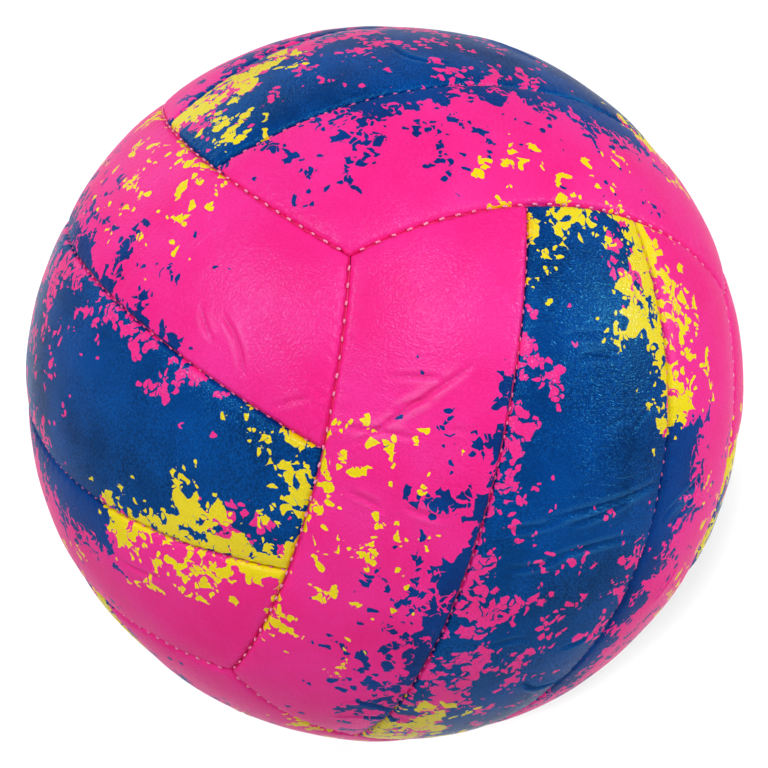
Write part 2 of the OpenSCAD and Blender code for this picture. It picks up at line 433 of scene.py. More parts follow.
def keep_place(mesh, face):
    """Keeps each point's place on its face, in decimetres, for the print and the weave to read."""
    points = np.empty(3 * len(mesh.vertices))
    mesh.vertices.foreach_get("co", points)
    to_dm = [10, -10, -10] if face in TURNED else [10, 10, 10]
    place = points.reshape(-1, 3) @ face_turn(face) * to_dm
    kept = mesh.attributes.get("face_place")
    kept = kept or mesh.attributes.new("face_place", "FLOAT_VECTOR", "POINT")
    kept.data.foreach_set("vector", place.ravel())


def skin_object(face, strip):
    """One skin as a sheet with thickness."""
    across, along, a, w = panel_angles(strip, ACROSS, ALONG)
    creases = crease_height(face, across, along)
    radius = skin_heights(face, strip, across, along, a, w, creases)
    local = on_ball(across, along) * radius[..., None]
    name = f"cover_{face}_{strip}"
    mesh = sheet_mesh(name, local.reshape(-1, 3) @ face_turn(face).T, grid_faces(*across.shape))
    # the fold also drives the finish's painted highlight on a crease's shoulders and painted shade
    # inside it
    fold = np.clip(creases / FOLD_FULL, -1, 1)
    mesh.attributes.new("fold", "FLOAT", "POINT").data.foreach_set("value", fold.ravel())
    sheet = bmesh.new()
    sheet.from_mesh(mesh)
    bmesh.ops.remove_doubles(sheet, verts=sheet.verts, dist=MERGE)
    sheet.to_mesh(mesh)
    sheet.free()
    keep_place(mesh, face)
    mesh.polygons.foreach_set("use_smooth", [True] * len(mesh.polygons))
    obj = placed(name, mesh)
    wall = obj.modifiers.new("Skin thickness", "SOLIDIFY")
    wall.thickness = SKIN_T
    wall.offset = -1
    return obj


skins = {(face, strip): skin_object(face, strip) for face, strip in panels}
print("skins", len(skins), "points each", len(skins["right", 2].data.vertices))

# %% [markdown]
# ## Hole for the valve
# The middle strip of the back face has a punched hole with the rubber valve in it. A hole could
# be left out of the grid, but then its rim would follow the grid's squares, so it is cut with a
# round cutter once the skin has its thickness.

# %% Cut the valve hole
VALVE_HOLE_R = 4.9e-3
PUNCH_Y = (0.09, 0.115)
PUNCH_SIDES = 64


def made_plain(obj):
    """Turns what an object's modifiers make into its own mesh, and removes the modifiers."""
    done = bpy.data.meshes.new_from_object(obj.evaluated_get(bpy.context.evaluated_depsgraph_get()))
    obj.modifiers.clear()
    old, obj.data = obj.data, done
    done.name = obj.name
    bpy.data.meshes.remove(old)


def punch_valve_hole(obj):
    """Cuts the round hole for the valve through an object, along +Y."""
    n = PUNCH_SIDES
    turn = np.linspace(0, 2 * math.pi, n, endpoint=False)
    r = VALVE_HOLE_R
    rings = [(r * math.sin(t), y, r * math.cos(t)) for y in PUNCH_Y for t in turn]
    sides = [(k, (k + 1) % n, n + (k + 1) % n, n + k) for k in range(n)]
    mesh = bpy.data.meshes.new("punch")
    mesh.from_pydata(rings, [], [*sides, list(range(n))[::-1], list(range(n, 2 * n))])
    cutter = placed("punch", mesh)
    cut = obj.modifiers.new("Hole", "BOOLEAN")
    cut.operation, cut.solver, cut.object = "DIFFERENCE", "EXACT", cutter
    made_plain(obj)
    bpy.data.objects.remove(cutter)
    bpy.data.meshes.remove(mesh)
    keep_place(obj.data, "back")


valve_skin = skins["back", 2]
before = len(valve_skin.data.polygons)
punch_valve_hole(valve_skin)
print("faces of the valve panel before and after the cut", before, len(valve_skin.data.polygons))

# %% [markdown]
# ## Foam pads and backing cloth
# Behind each skin lies a foam pad, and a woven cloth glued to its back keeps the panel from
# stretching. Both are hidden until a panel is opened, so their grids are coarser. They could
# share one mesh, but they are cut and glued as separate layers, so each is its own closed piece:
# the pad's top follows the blown-up skin, and the cloth lies on the bladder.

# %% Layers behind a skin
LAYER_INSET = 1.15e-3
PAD_BACK_R = 0.1011
CLOTH_R = (0.1010, 0.1006)
PAD_LEAST = 0.4e-3
PAD_ROUND = 0.7
SKIN_GAP = 0.35e-3
LAYER_ACROSS = rows(10)
LAYER_ALONG = rows(32)


def inset_rows(pattern):
    """The same rows with the outline drawn in, so that a layer stays inside its skin's flange."""
    fixed, share = pattern
    keep = np.ones(len(fixed), bool)
    keep[1:3] = keep[-3:-1] = False
    return (fixed + LAYER_INSET * (1 - 2 * share))[keep], share[keep]


def closed_layer(name, face, top, back):
    """A closed piece between two grids of points."""
    n, m = top.shape[:2]
    quads = grid_faces(n, m)
    ring = np.concatenate([
        np.arange(m - 1),
        np.arange(n - 1) * m + m - 1,
        (n - 1) * m + np.arange(m - 1, 0, -1),
        np.arange(n - 1, 0, -1) * m,
    ])
    after = np.roll(ring, -1)
    wall = np.stack([ring, ring + n * m, after + n * m, after], -1)
    points = np.concatenate([top.reshape(-1, 3), back.reshape(-1, 3)]) @ face_turn(face).T
    mesh = sheet_mesh(name, points, np.concatenate([quads, quads[:, ::-1] + n * m, wall]))
    keep_place(mesh, face)
    return placed(name, mesh)


def layers_behind(face, strip):
    """The foam pad and the backing cloth of one panel."""
    across, along, a, w = panel_angles(strip, inset_rows(LAYER_ACROSS), inset_rows(LAYER_ALONG))
    out = on_ball(across, along)
    sides = seam_distances(strip, across, along)
    near = np.min(sides, axis=0) - LAYER_INSET
    crown = cubic_lookup(crowns[face, strip], w, a) - CROWN_BASE - SKIN_T - SKIN_GAP
    top = BALL_R + crown - roll_drop(near + SEAM_HALF) * PAD_ROUND
    top = np.maximum(top, PAD_BACK_R + PAD_LEAST)
    pad = closed_layer(f"pad_{face}_{strip}", face, out * top[..., None], out * PAD_BACK_R)
    cloth = closed_layer(f"backing_{face}_{strip}", face, out * CLOTH_R[0], out * CLOTH_R[1])
    return pad, cloth


layers = {panel: layers_behind(*panel) for panel in panels}
for layer in layers["back", 2]:
    punch_valve_hole(layer)
print("layers", 2 * len(layers), "points in a pad", len(layers["right", 2][0].data.vertices))

# %% [markdown]
# ## Stitches
# The panels are sewn edge to edge. From outside only a short bridge of thread shows at each
# stitch, down between two rolled edges. Hundreds of equal bridges along a path are a job for
# Geometry Nodes: the seam runs are plain lines, the tree walks along them, sets one small arched
# bar at every stitch and pulls one thin thread along the bottom of the seam.

# %% Seam runs as lines
EDGE_POINTS, STRIP_POINTS = 61, 81
RUN_STOP = 0.012


def seam_runs(edges):
    """Points of the twelve edge seams, or of the twelve strip seams, on the ball."""
    runs = []
    for face in FACES:
        for side in (-1, 1):
            if edges:
                across = np.linspace(-math.pi / 4, math.pi / 4, EDGE_POINTS + 2)[1:-1]
                along = side * end_angle(across)
            else:
                reach = float(end_angle(np.array(STRIP))) - RUN_STOP
                along = np.linspace(-reach, reach, STRIP_POINTS)
                across = np.full(along.shape, side * STRIP)
            runs.append(BALL_R * on_ball(across, along) @ face_turn(face).T)
    return runs


def run_object(name, runs, pitch, seed):
    """A mesh of bare lines, with the stitch length of each run kept on its points."""
    pick = np.random.default_rng(seed)
    count = len(runs[0])
    lines = [(k * count + i, k * count + i + 1) for k in range(len(runs)) for i in range(count - 1)]
    mesh = bpy.data.meshes.new(name)
    mesh.from_pydata(np.concatenate(runs).tolist(), lines, [])
    lengths = np.repeat(pitch * pick.uniform(0.88, 1.12, len(runs)), count)
    mesh.attributes.new("stitch_length", "FLOAT", "POINT").data.foreach_set("value", lengths)
    return placed(name, mesh)


edge_runs, strip_runs = seam_runs(True), seam_runs(False)
for runs in (edge_runs, strip_runs):
    length = float(np.linalg.norm(np.diff(runs[0], axis=0), axis=1).sum())
    print("seam runs", len(runs), "of", round(1000 * length), "mm")

# %% Short forms for building node trees
def add_node(tree, kind, inputs=None, **settings):
    """Adds a node, makes its settings, and fills or joins its inputs."""
    made = tree.nodes.new(kind)
    for key, value in settings.items():
        setattr(made, key, value)
    for key, value in (inputs or {}).items():
        if isinstance(value, bpy.types.NodeSocket):
            tree.links.new(value, made.inputs[key])
        else:
            made.inputs[key].default_value = value
    return made


def new_tree(name, kind, inputs, outputs):
    """A node group with named sockets; gives the tree, what comes in and what goes out."""
    tree = bpy.data.node_groups.new(name, kind)
    for label, sort, value in inputs:
        socket = tree.interface.new_socket(label, in_out="INPUT", socket_type="NodeSocket" + sort)
        if value is not None:
            socket.default_value = value
    for label, sort in outputs:
        tree.interface.new_socket(label, in_out="OUTPUT", socket_type="NodeSocket" + sort)
    return tree, add_node(tree, "NodeGroupInput").outputs, add_node(tree, "NodeGroupOutput").inputs


def tree_maths(tree):
    """Two short forms for one tree: a sum and a vector sum."""
    def maths(operation, *values, clamp=False):
        sums = dict(enumerate(values))
        return add_node(tree, "ShaderNodeMath", sums, operation=operation, use_clamp=clamp).outputs[0]

    def vectors(operation, *values, **named):
        sums = {**dict(enumerate(values)), **named}
        return add_node(tree, "ShaderNodeVectorMath", sums, operation=operation).outputs

    return maths, vectors


# %% Sizes of a stitch
stitch_tree, given, result = new_tree(
    "Stitch run",
    "GeometryNodeTree",
    [
        ("Geometry", "Geometry", None),
        ("Bar length", "Float", 0.9e-3),
        ("Bar thickness", "Float", 0.62e-3),
        ("Bar depth", "Float", 1.05e-3),
        ("Thread thickness", "Float", 0.4e-3),
        ("Thread depth", "Float", 2.0e-3),
        ("Seed", "Int", 3),
        ("Material", "Material", None),
        ("Thread material", "Material", None),
    ],
    [("Geometry", "Geometry")],
)
print("stitch inputs", [socket.name for socket in given if socket.name])

# %% The stitch tree
SWAY = 0.22
# smallest and largest bar, as shares of its length, width and height
BAR_SIZES = ((0.8, 0.85, 0.85), (1.15, 1.1, 1.1))


def fill_stitch_tree(t):
    """Bars at every stitch and one thread along the seam."""
    maths, vectors = tree_maths(t)

    def join(kind, inputs=None, **settings):
        return add_node(t, kind, inputs, **settings).outputs

    out = vectors("NORMALIZE", join("GeometryNodeInputPosition")[0])[0]

    def sunk(curve, depth):
        drop = vectors("SCALE", out, Scale=maths("MULTIPLY", depth, -1.0))[0]
        return join("GeometryNodeSetPosition", {"Geometry": curve, "Offset": drop})[0]

    def tube(curve, thickness, sides):
        rim = {"Resolution": sides, "Radius": maths("MULTIPLY", thickness, 0.5)}
        rim = join("GeometryNodeCurvePrimitiveCircle", rim)[0]
        swept = {"Curve": curve, "Profile Curve": rim, "Fill Caps": True}
        return join("GeometryNodeCurveToMesh", swept)[0]

    lines = join("GeometryNodeMeshToCurve", {"Mesh": given["Geometry"]})[0]
    step = join("GeometryNodeInputNamedAttribute", {"Name": "stitch_length"}, data_type="FLOAT")[0]
    seam = {"Curve": sunk(lines, given["Bar depth"]), "Length": step}
    places = join("GeometryNodeCurveToPoints", seam, mode="LENGTH")

    half = maths("MULTIPLY", given["Bar length"], 0.5)
    foot = maths("MULTIPLY", half, -0.35)
    top = maths("MULTIPLY", half, 0.5)
    bow = {"Resolution": 6}
    for corner, x, z in (
        ("Start", maths("MULTIPLY", half, -1.0), foot),
        ("Middle", 0.0, top),
        ("End", half, foot),
    ):
        bow[corner] = join("ShaderNodeCombineXYZ", {"X": x, "Z": z})[0]
    arch = join("GeometryNodeCurveQuadraticBezier", bow)[0]
    along = join("GeometryNodeSplineParameter")["Factor"]
    from_mid = maths("ABSOLUTE", maths("SUBTRACT", maths("MULTIPLY", along, 2.0), 1.0))
    swell = maths("SQRT", maths("SUBTRACT", 1.08, maths("POWER", from_mid, 3.0)))
    arch = join("GeometryNodeSetCurveRadius", {"Curve": arch, "Radius": swell})[0]
    bar = tube(arch, given["Bar thickness"], 6)

    turn = join("FunctionNodeAlignRotationToVector", {"Vector": out}, axis="Z")[0]
    ahead = {"Rotation": turn, "Vector": places["Tangent"]}
    turn = join("FunctionNodeAlignRotationToVector", ahead, axis="X", pivot_axis="Z")[0]
    sways = {2: -SWAY, 3: SWAY, "Seed": given["Seed"]}
    sway = join("FunctionNodeRandomValue", sways, data_type="FLOAT")[1]
    sway = join("ShaderNodeCombineXYZ", {"Z": sway})[0]
    sway = join("FunctionNodeEulerToRotation", {0: sway})[0]
    swayed = {"Rotation": turn, "Rotate By": sway}
    turn = join("FunctionNodeRotateRotation", swayed, rotation_space="LOCAL")[0]
    sizes = {0: BAR_SIZES[0], 1: BAR_SIZES[1], "Seed": given["Seed"]}
    size = join("FunctionNodeRandomValue", sizes, data_type="FLOAT_VECTOR")[0]
    bars = join("GeometryNodeInstanceOnPoints", {
        "Points": places["Points"], "Instance": bar, "Rotation": turn, "Scale": size,
    })[0]
    thread = tube(sunk(lines, given["Thread depth"]), given["Thread thickness"], 5)

    both = add_node(t, "GeometryNodeJoinGeometry")
    for part, finish in ((bars, "Material"), (thread, "Thread material")):
        solid = join("GeometryNodeRealizeInstances", {"Geometry": part})[0]
        smooth = join("GeometryNodeSetShadeSmooth", {"Geometry": solid})[0]
        done = join("GeometryNodeSetMaterial", {"Geometry": smooth, "Material": given[finish]})[0]
        t.links.new(done, both.inputs[0])
    t.links.new(both.outputs[0], result["Geometry"])


fill_stitch_tree(stitch_tree)
print("stitch tree nodes", len(stitch_tree.nodes))

# %% [markdown]
# ## Thread finish
# The sewing thread is twisted polyester. Its fibres are much finer than a stitch is long, so a
# fine noise on the object's own place is enough: it varies the colour, painting random fibres
# paler as a sheen, the roughness and a small bump. Three threads use it, so it is built once, as a
# group. They are one pink thread in three tones: the bars on the edge seams are painted paler as a
# highlight, the bars in the strip seams a little less, and the thread along the bottom of a seam
# is painted darker as shade.

# %% Short forms for building finishes
def new_finish(name):
    """A material with its Principled shader, ready to be wired."""
    made = bpy.data.materials.new(name)
    made.use_nodes = True
    tree = made.node_tree
    tree.nodes.clear()
    shader = add_node(tree, "ShaderNodeBsdfPrincipled")
    add_node(tree, "ShaderNodeOutputMaterial", {"Surface": shader.outputs[0]})
    return made, tree, shader


def colour(red, green, blue):
    """A colour given in the eight-bit values that a picture editor shows."""
    shares = [v / 255 for v in (red, green, blue)]
    linear = [s / 12.92 if s <= 0.04045 else ((s + 0.055) / 1.055) ** 2.4 for s in shares]
    return (*linear, 1.0)


def blend_colours(tree, share, first, second):
    """Two colours mixed, with share as the part of the second one."""
    inputs = {"Factor": share, 6: first, 7: second}
    return add_node(tree, "ShaderNodeMix", inputs, data_type="RGBA").outputs[2]


def between(tree, value, low, high, start, end):
    """Takes a value from one range to another, and stops at the ends."""
    made = add_node(tree, "ShaderNodeMapRange", {"Value": value, 1: low, 2: high, 3: start, 4: end})
    return made.outputs[0]


def cloudy(tree, place, scale, detail, **more):
    """Soft noise, as a value and as a colour; scale is the number of waves in a unit of the place."""
    inputs = {"Vector": place, "Scale": scale, "Detail": detail, **more}
    return add_node(tree, "ShaderNodeTexNoise", inputs).outputs


def use_group(tree, group, inputs):
    """Places a node group in a tree, with its own values."""
    return add_node(tree, "ShaderNodeGroup", inputs, node_tree=group).outputs


def wire_finish(tree, shader, tone, rough, height, strength, depth):
    """Joins a colour, a roughness and a bump's height to the shader."""
    relief = {"Height": height, "Strength": strength, "Distance": depth}
    bump = add_node(tree, "ShaderNodeBump", relief).outputs[0]
    for socket, value in (("Base Color", tone), ("Roughness", rough), ("Normal", bump)):
        tree.links.new(value, shader.inputs[socket])


# %% Group for the fibres
def fibre_group():
    """Fibres of a twisted thread: how pale and how dull they are, and their height."""
    tree, given, result = new_tree(
        "Thread fibres",
        "ShaderNodeTree",
        [("Place", "Vector", None), ("Fibres per m", "Float", 2600.0)],
        [("Pale", "Float"), ("Dullness", "Float"), ("Height", "Float")],
    )
    fibre = cloudy(tree, given["Place"], given["Fibres per m"], 3.0)[0]
    tree.links.new(between(tree, fibre, 0.35, 0.65, 0.0, 1.0), result["Pale"])
    tree.links.new(between(tree, fibre, 0.3, 0.7, 0.65, 0.4), result["Dullness"])
    tree.links.new(fibre, result["Height"])
    return tree


fibres = fibre_group()
print(fibres.name, "nodes", len(fibres.nodes))

# %% Thread material and sewn seams
def thread_finish(name, dark, light):
    """Twisted thread between a dark and a light colour."""
    made, tree, shader = new_finish(name)
    place = add_node(tree, "ShaderNodeTexCoord").outputs["Object"]
    fibre = use_group(tree, fibres, {"Place": place})
    tone = blend_colours(tree, fibre["Pale"], dark, light)
    wire_finish(tree, shader, tone, fibre["Dullness"], fibre["Height"], 0.5, 1e-4)
    return made


def sewn(name, runs, pitch, seed, **sizes):
    """Runs the stitch tree along the seam runs and keeps the result as a plain mesh."""
    obj = run_object(name, runs, pitch, seed)
    sew = obj.modifiers.new("Sew", "NODES")
    sew.node_group = stitch_tree
    for item in stitch_tree.interface.items_tree:
        if item.in_out == "INPUT" and item.name in sizes:
            sew[item.identifier] = sizes[item.name]
    made_plain(obj)
    # an empty material slot, if there is one, is dropped
    slots = list(obj.data.materials)
    kept = [m for m in slots if m]
    index = np.zeros(len(obj.data.polygons), int)
    obj.data.polygons.foreach_get("material_index", index)
    index = np.array([kept.index(m) if m else 0 for m in slots])[index]
    obj.data.materials.clear()
    for finish in kept:
        obj.data.materials.append(finish)
    obj.data.polygons.foreach_set("material_index", index)
    return obj


# one pink thread in three tones: the paler bars are a painted highlight, the darker seam thread a
# painted shade
highlit_stitch_thread = thread_finish("Stitch thread with painted highlight", colour(238, 104, 168), colour(255, 178, 208))
shaded_seam_thread = thread_finish("Seam thread with painted shade", colour(216, 18, 100), colour(240, 40, 128))
softly_highlit_stitches = thread_finish("Sunk stitch thread with weaker painted highlight", colour(224, 60, 132), colour(248, 130, 182))
edge_stitches = sewn("edge_stitches", edge_runs, 3.9e-3, 5, **{
    "Seed": 3,
    "Material": highlit_stitch_thread,
    "Thread material": shaded_seam_thread,
})
strip_stitches = sewn("strip_stitches", strip_runs, 3.4e-3, 6, **{
    "Seed": 8,
    "Material": softly_highlit_stitches,
    "Thread material": shaded_seam_thread,
    "Bar length": 0.8e-3,
    "Bar thickness": 0.5e-3,
    "Bar depth": 1.5e-3,
    "Thread thickness": 0.45e-3,
    "Thread depth": 2.2e-3,
})
for sewing in (edge_stitches, strip_stitches):
    finishes = [m.name for m in sewing.data.materials]
    print(sewing.name, "faces", len(sewing.data.polygons), "finishes", finishes)

# %% [markdown]
# ## The print, one group at a time
# Each face is printed alike: a blue middle strip between two pink ones, broken up by flakes of
# yellow, blue and pink that thin out over a few centimetres. A painted picture would fix one ball
# for good, so the print is worked out from each point's place on its face. Four small groups do
# it. The first turns a place into angles across and along the face. The second breaks the surface
# into ragged chips of mixed sizes and gives each one a level between 0 and 1. The third says how
# dense the flakes of one patch are. The fourth colours a chip where that density is above its
# level: the chip starts as a dot and grows as the density rises.

# %% Group for the angles
def face_angles_group():
    """Angles across and along a face, in degrees, for a place on it."""
    tree, given, result = new_tree(
        "Face angles",
        "ShaderNodeTree",
        [("Place", "Vector", None)],
        [("Across", "Float"), ("Along", "Float")],
    )
    maths, vectors = tree_maths(tree)
    axes = add_node(tree, "ShaderNodeSeparateXYZ", {0: given["Place"]}).outputs
    across = maths("DEGREES", maths("ARCTAN2", axes[1], axes[0]))
    height = maths("DIVIDE", axes[2], vectors("LENGTH", given["Place"])["Value"])
    tree.links.new(across, result["Across"])
    tree.links.new(maths("DEGREES", maths("ARCSINE", height)), result["Along"])
    return tree


face_angles = face_angles_group()
print(face_angles.name, "nodes", len(face_angles.nodes))

# %% Group for the chips
# each sway of the chips' edges: waves in a decimetre and reach in decimetres
CHIP_SWAYS = ((26.0, 0.030), (62.0, 0.013), (140.0, 0.005))
# smallest and largest chip, as shares of the middle one
CHIP_SIZES = (0.6, 1.4)
# the noise seldom leaves these ranges, so they are spread to 0 and 1
CLUSTER_RANGE, LEVEL_RANGE = (0.3, 0.7), (0.2, 0.78)


def chips_group():
    """Ragged chips, each with a level, its middle and the distance from it."""
    tree, given, result = new_tree(
        "Print chips",
        "ShaderNodeTree",
        [
            ("Place", "Vector", None),
            ("Chips per dm", "Float", 40.0),
            ("Clusters per dm", "Float", 13.0),
            ("Shift", "Float", 0.0),
            ("Stray", "Float", 0.34),
        ],
        [("Level", "Float"), ("Middle", "Vector"), ("From middle", "Float")],
    )
    maths, vectors = tree_maths(tree)
    moved = vectors("ADD", given["Place"], given["Shift"])["Vector"]
    for waves, reach in CHIP_SWAYS:
        sway = cloudy(tree, moved, waves, 0.0)["Color"]
        sway = vectors("SUBTRACT", sway, (0.5, 0.5, 0.5))["Vector"]
        moved = vectors("ADD", moved, vectors("SCALE", sway, Scale=reach)["Vector"])["Vector"]
    inputs = {"Vector": moved, "Scale": given["Chips per dm"]}
    cell = add_node(tree, "ShaderNodeTexVoronoi", inputs).outputs
    middle = cell["Position"]
    cluster = cloudy(tree, middle, given["Clusters per dm"], 1.5, Roughness=0.6)[0]
    cluster = between(tree, cluster, *CLUSTER_RANGE, 0.0, 1.0)
    stray = add_node(tree, "ShaderNodeTexWhiteNoise", {"Vector": middle}, noise_dimensions="3D")
    stray = maths("SUBTRACT", stray.outputs["Value"], cluster)
    level = maths("ADD", cluster, maths("MULTIPLY", stray, given["Stray"]))
    tree.links.new(between(tree, level, *LEVEL_RANGE, 0.0, 1.0), result["Level"])
    tree.links.new(vectors("SUBTRACT", middle, given["Shift"])["Vector"], result["Middle"])
    random = add_node(tree, "ShaderNodeSeparateColor", {0: cell["Color"]}).outputs[0]
    size = between(tree, random, 0.0, 1.0, *CHIP_SIZES)
    tree.links.new(maths("DIVIDE", cell["Distance"], size), result["From middle"])
    return tree


chips = chips_group()
print(chips.name, "nodes", len(chips.nodes))

# %% Group for a patch
def patch_group():
    """Density of the flakes of one patch, which fades across and at both ends."""
    tree, given, result = new_tree(
        "Print patch",
        "ShaderNodeTree",
        [
            ("Across", "Float", 0.0),
            ("Along", "Float", 0.0),
            ("Across none", "Float", -90.0),
            ("Across full", "Float", -80.0),
            ("Along low", "Float", -90.0),
            ("Along high", "Float", 90.0),
            ("Along soft", "Float", 8.0),
            ("Strength", "Float", 1.0),
        ],
        [("Density", "Float")],
    )
    maths, _ = tree_maths(tree)
    sideways = between(tree, given["Across"], given["Across none"], given["Across full"], 0.0, 1.0)
    ends = []
    for high, low in (("Along", "Along low"), ("Along high", "Along")):
        inside = maths("DIVIDE", maths("SUBTRACT", given[high], given[low]), given["Along soft"])
        ends.append(maths("ADD", inside, 0.5, clamp=True))
    density = maths("MULTIPLY", sideways, maths("MINIMUM", *ends))
    density = maths("MULTIPLY", density, given["Strength"])
    tree.links.new(density, result["Density"])
    return tree


patch = patch_group()
print(patch.name, "nodes", len(patch.nodes))

# %% Group for the printed chips
# reach of a chip that has just started, and how it grows, slowly and then faster
DOT, GROWTH, FASTER = 0.33, 1.2, 5.0


def printed_group():
    """One where a chip is printed, and zero elsewhere."""
    tree, given, result = new_tree(
        "Printed chips",
        "ShaderNodeTree",
        [("Density", "Float", 0.0), ("Level", "Float", 0.0), ("From middle", "Float", 0.0)],
        [("Mask", "Float")],
    )
    maths, _ = tree_maths(tree)
    more = maths("SUBTRACT", given["Density"], given["Level"])
    growth = maths("ADD", maths("MULTIPLY", more, FASTER), GROWTH)
    reach = maths("ADD", maths("MULTIPLY", more, growth), DOT)
    reached = maths("GREATER_THAN", reach, given["From middle"])
    mask = maths("MULTIPLY", maths("GREATER_THAN", more, 0.0), reached)
    tree.links.new(mask, result["Mask"])
    return tree


printed = printed_group()
print(printed.name, "nodes", len(printed.nodes))

# %% [markdown]
# ## Grain of the leather
# The cover is a soft synthetic leather with a fine pebbled grain, a little longer across the
# strip than along it, and faint wrinkles between the pebbles. It is far too fine for geometry, so
# one group makes it as a height for a bump, and also gives a value for the roughness, because the
# valleys of the grain shine less than its tops.

# %% Group for the grain
def grain_group():
    """Height of the leather's grain and wrinkles, and how much a place shines."""
    tree, given, result = new_tree(
        "Leather grain",
        "ShaderNodeTree",
        [("Place", "Vector", None), ("Pebbles per dm", "Float", 200.0)],
        [("Height", "Float"), ("Shine", "Float")],
    )
    maths, vectors = tree_maths(tree)
    longer = vectors("MULTIPLY", given["Place"], (1.0, 0.7, 1.0))["Vector"]
    sway = cloudy(tree, longer, 40.0, 2.0)["Color"]
    longer = vectors("ADD", longer, vectors("SCALE", sway, Scale=0.012)["Vector"])["Vector"]
    inputs = {"Vector": longer, "Scale": given["Pebbles per dm"], "Smoothness": 0.6}
    pebble = add_node(tree, "ShaderNodeTexVoronoi", inputs, feature="SMOOTH_F1").outputs["Distance"]
    pebble = between(tree, pebble, 0.1, 0.75, 1.0, 0.0)
    patchy = cloudy(tree, given["Place"], 7.0, 2.0)[0]
    pebble = maths("MULTIPLY", pebble, between(tree, patchy, 0.35, 0.65, 0.45, 1.0))
    fine = cloudy(tree, longer, 260.0, 2.0)[0]
    height = maths("ADD", pebble, maths("MULTIPLY", fine, 0.25))
    drawn = vectors("MULTIPLY", given["Place"], (4.0, 4.0, 15.0))["Vector"]
    wrinkle = cloudy(tree, drawn, 1.0, 2.0, Distortion=0.6)[0]
    wrinkle = maths("ABSOLUTE", maths("SUBTRACT", wrinkle, 0.5))
    wrinkle = between(tree, wrinkle, 0.0, 0.035, 1.0, 0.0)
    some = cloudy(tree, given["Place"], 3.3, 1.0)[0]
    wrinkle = maths("MULTIPLY", wrinkle, between(tree, some, 0.5, 0.62, 0.0, 1.0))
    height = maths("SUBTRACT", height, maths("MULTIPLY", wrinkle, 0.6))
    tree.links.new(height, result["Height"])
    tree.links.new(pebble, result["Shine"])
    return tree


grain = grain_group()
print(grain.name, "nodes", len(grain.nodes))

# %% [markdown]
# ## Cover finishes
# There are three: the middle strip, and the two side strips, whose flakes lie on opposite edges.
# Each starts from its ground colour and lays the other two over it, in the order in which they
# would be printed. A patch is written as where it starts and is full across the face, its low and
# high end along it, how soft these ends are, all in degrees, and how dense it gets. A layer also
# has a shift, so that no two layers of a finish use the same chips, and the number of chips in a
# decimetre. The shine is weak, or a white room would grey the blue where it is seen at a slant,
# and a strong tint, the glint, keeps the highlights. The grain's valleys get painted shade, most on
# blue. Two more groups serve all three: one for the random mottle, the painted shade and the
# painted crease highlight of the cover at a place, and one for the tone that an ink then has.

# %% Patches of flakes
# each ink as its colour, its darker shade, for random mottle and for the painted shade in the
# grain's valleys, and its paler tone, a painted highlight on the shoulder of a crease
PINK = (colour(255, 55, 164), colour(248, 25, 130), colour(255, 120, 188))
BLUE = (colour(0, 76, 170), colour(0, 26, 92), colour(50, 118, 176))
THIN_BLUE = (colour(0, 70, 156), colour(0, 26, 92), colour(50, 118, 176))
YELLOW = (colour(252, 234, 2), colour(242, 214, 0), colour(255, 243, 120))
ALL = (-90.0, -80.0)
MIDDLE_PRINT = [
    (PINK, 3.1, 56.0, [
        (-5, -14, -5, 33, 8, 0.54),
        (14, -4, -60, 2, 18, 0.44),
        (8, -8, -60, -13, 10, 0.68),
        (4, 14, -17, 4, 10, 0.55),
        (7, 14, 17, 25, 6, 0.45),
        (0, 9, 39, 60, 5, 0.42),
    ]),
    (YELLOW, 7.7, 54.0, [
        (-4, 11, 31, 60, 6, 0.85),
        (*ALL, 44, 60, 6, 0.50),
        (-8, -14, 36, 60, 5, 0.64),
        (6, 14, 17, 32, 6, 0.60),
        (3, -8, -60, -31, 7, 0.78),
        (*ALL, -60, -41, 5, 0.40),
    ]),
]
LOW_SIDE_PRINT = [
    (THIN_BLUE, 11.3, 52.0, [
        (-19.5, -14.8, -60, 29, 10, 0.66),
        (-31.0, -16.0, -60, 20, 12, 0.58),
        (-36.0, -16.0, -44, -12, 14, 0.72),
        (-22.0, -14.8, -20, 3, 8, 1.30),
    ]),
    (YELLOW, 7.7, 54.0, [
        (-25, -40, -22, 17, 10, 0.58),
        (-20, -30, -12, 10, 10, 0.18),
    ]),
]
HIGH_SIDE_PRINT = [
    (THIN_BLUE, 11.3, 54.0, [
        (30.0, 16.0, 3, 20, 6, 1.55),
        (26.0, 15.5, -32, 4, 8, 1.20),
        (32.0, 17.0, -32, -4, 8, 0.50),
        (38.0, 18.0, -50, 12, 20, 0.36),
    ]),
    (YELLOW, 7.7, 54.0, [
        (30.0, 14.8, 19, 60, 6, 0.78),
        (26.0, 34.0, -16, 11, 8, 0.36),
    ]),
]
for strip, layers_printed in enumerate((LOW_SIDE_PRINT, MIDDLE_PRINT, HIGH_SIDE_PRINT), 1):
    print("strip", strip, "patches in each layer", [len(layer[-1]) for layer in layers_printed])

